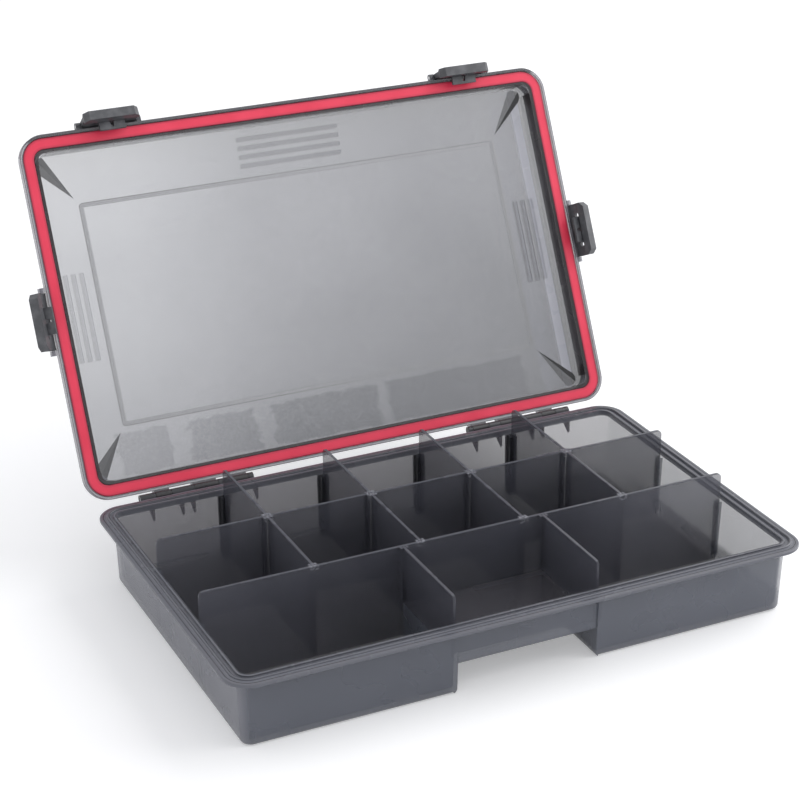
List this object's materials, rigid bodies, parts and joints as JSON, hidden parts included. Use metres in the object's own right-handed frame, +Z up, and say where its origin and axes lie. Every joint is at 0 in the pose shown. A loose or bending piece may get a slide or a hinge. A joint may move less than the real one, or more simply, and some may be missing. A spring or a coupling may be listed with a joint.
{
  "type": "tackle box",
  "caption": "Flat hinged tackle box with a domed lid, a soft seal in the lid, snap latches, loose dividers and a finger recess at the front.",
  "frame": {"origin": "centre of the flat underside of the tray, midway along its length and depth", "axes": "+X along the front to the right, +Y from the front edge to the hinges, +Z up"},
  "size_m": [0.3838, 0.3439, 0.2581],
  "materials": {
    "smoked_shell": "smoked translucent polypropylene",
    "smoked_lid": "smoked translucent polypropylene",
    "smoked_divider": "smoked translucent polypropylene",
    "seal_red": "soft silicone",
    "latch_black": "fine matt",
    "pin_steel": "drawn"
  },
  "bodies": {
    "tray": {"tray": "smoked_shell", "hinge_pin_left": "pin_steel", "hinge_pin_right": "pin_steel"},
    "lid": {"lid": "smoked_lid", "seal": "seal_red", "latch_pin_front_left": "pin_steel", "latch_pin_front_right": "pin_steel", "latch_pin_left": "pin_steel", "latch_pin_right": "pin_steel"},
    "latch_front_left": {"latch_front_left": "latch_black"},
    "latch_front_right": {"latch_front_right": "latch_black"},
    "latch_left": {"latch_left": "latch_black"},
    "latch_right": {"latch_right": "latch_black"},
    "divider_long": {"divider_long": "smoked_divider"},
    "divider_cross_1": {"divider_cross_1": "smoked_divider"},
    "divider_cross_2": {"divider_cross_2": "smoked_divider"},
    "divider_cross_3": {"divider_cross_3": "smoked_divider"},
    "divider_cross_4": {"divider_cross_4": "smoked_divider"},
    "divider_short_1": {"divider_short_1": "smoked_divider"},
    "divider_short_2": {"divider_short_2": "smoked_divider"},
    "divider_short_3": {"divider_short_3": "smoked_divider"},
    "divider_short_4": {"divider_short_4": "smoked_divider"},
    "divider_short_5": {"divider_short_5": "smoked_divider"},
    "divider_front_left": {"divider_front_left": "smoked_divider"},
    "divider_front_right": {"divider_front_right": "smoked_divider"}
  },
  "joints": [
    {"name": "lid_hinge", "type": "hinge", "parent": "tray", "child": "lid", "pos_m": [0, 0.1159, 0.0428], "axis": [-1, 0, 0], "range_deg": [-116.7, 0]},
    {"name": "latch_front_left_hinge", "type": "hinge", "parent": "lid", "child": "latch_front_left", "pos_m": [-0.1205, 0.22362, 0.24674], "axis": [-1, 0, 0], "range_deg": [-15, 103]},
    {"name": "latch_front_right_hinge", "type": "hinge", "parent": "lid", "child": "latch_front_right", "pos_m": [0.1205, 0.22362, 0.24674], "axis": [-1, 0, 0], "range_deg": [-2, 116]},
    {"name": "latch_left_hinge", "type": "hinge", "parent": "lid", "child": "latch_left", "pos_m": [-0.1822, 0.17209, 0.14427], "axis": [0, -0.4493, -0.8934], "range_deg": [-39, 79]},
    {"name": "latch_right_hinge", "type": "hinge", "parent": "lid", "child": "latch_right", "pos_m": [0.1822, 0.17209, 0.14427], "axis": [0, 0.4493, 0.8934], "range_deg": [-25, 93]},
    {"name": "divider_long_lift", "type": "slide", "parent": "tray", "child": "divider_long", "axis": [0, 0, 1], "range_m": [0, 0.06]},
    {"name": "divider_cross_1_lift", "type": "slide", "parent": "tray", "child": "divider_cross_1", "axis": [0, 0, 1], "range_m": [0, 0.06]},
    {"name": "divider_cross_2_lift", "type": "slide", "parent": "tray", "child": "divider_cross_2", "axis": [0, 0, 1], "range_m": [0, 0.06]},
    {"name": "divider_cross_3_lift", "type": "slide", "parent": "tray", "child": "divider_cross_3", "axis": [0, 0, 1], "range_m": [0, 0.06]},
    {"name": "divider_cross_4_lift", "type": "slide", "parent": "tray", "child": "divider_cross_4", "axis": [0, 0, 1], "range_m": [0, 0.06]},
    {"name": "divider_short_1_lift", "type": "slide", "parent": "tray", "child": "divider_short_1", "axis": [0, 0, 1], "range_m": [0, 0.06]},
    {"name": "divider_short_2_lift", "type": "slide", "parent": "tray", "child": "divider_short_2", "axis": [0, 0, 1], "range_m": [0, 0.06]},
    {"name": "divider_short_3_lift", "type": "slide", "parent": "tray", "child": "divider_short_3", "axis": [0, 0, 1], "range_m": [0, 0.06]},
    {"name": "divider_short_4_lift", "type": "slide", "parent": "tray", "child": "divider_short_4", "axis": [0, 0, 1], "range_m": [0, 0.06]},
    {"name": "divider_short_5_lift", "type": "slide", "parent": "tray", "child": "divider_short_5", "axis": [0, 0, 1], "range_m": [0, 0.06]},
    {"name": "divider_front_left_lift", "type": "slide", "parent": "tray", "child": "divider_front_left", "axis": [0, 0, 1], "range_m": [0, 0.06]},
    {"name": "divider_front_right_lift", "type": "slide", "parent": "tray", "child": "divider_front_right", "axis": [0, 0, 1], "range_m": [0, 0.06]}
  ]
}
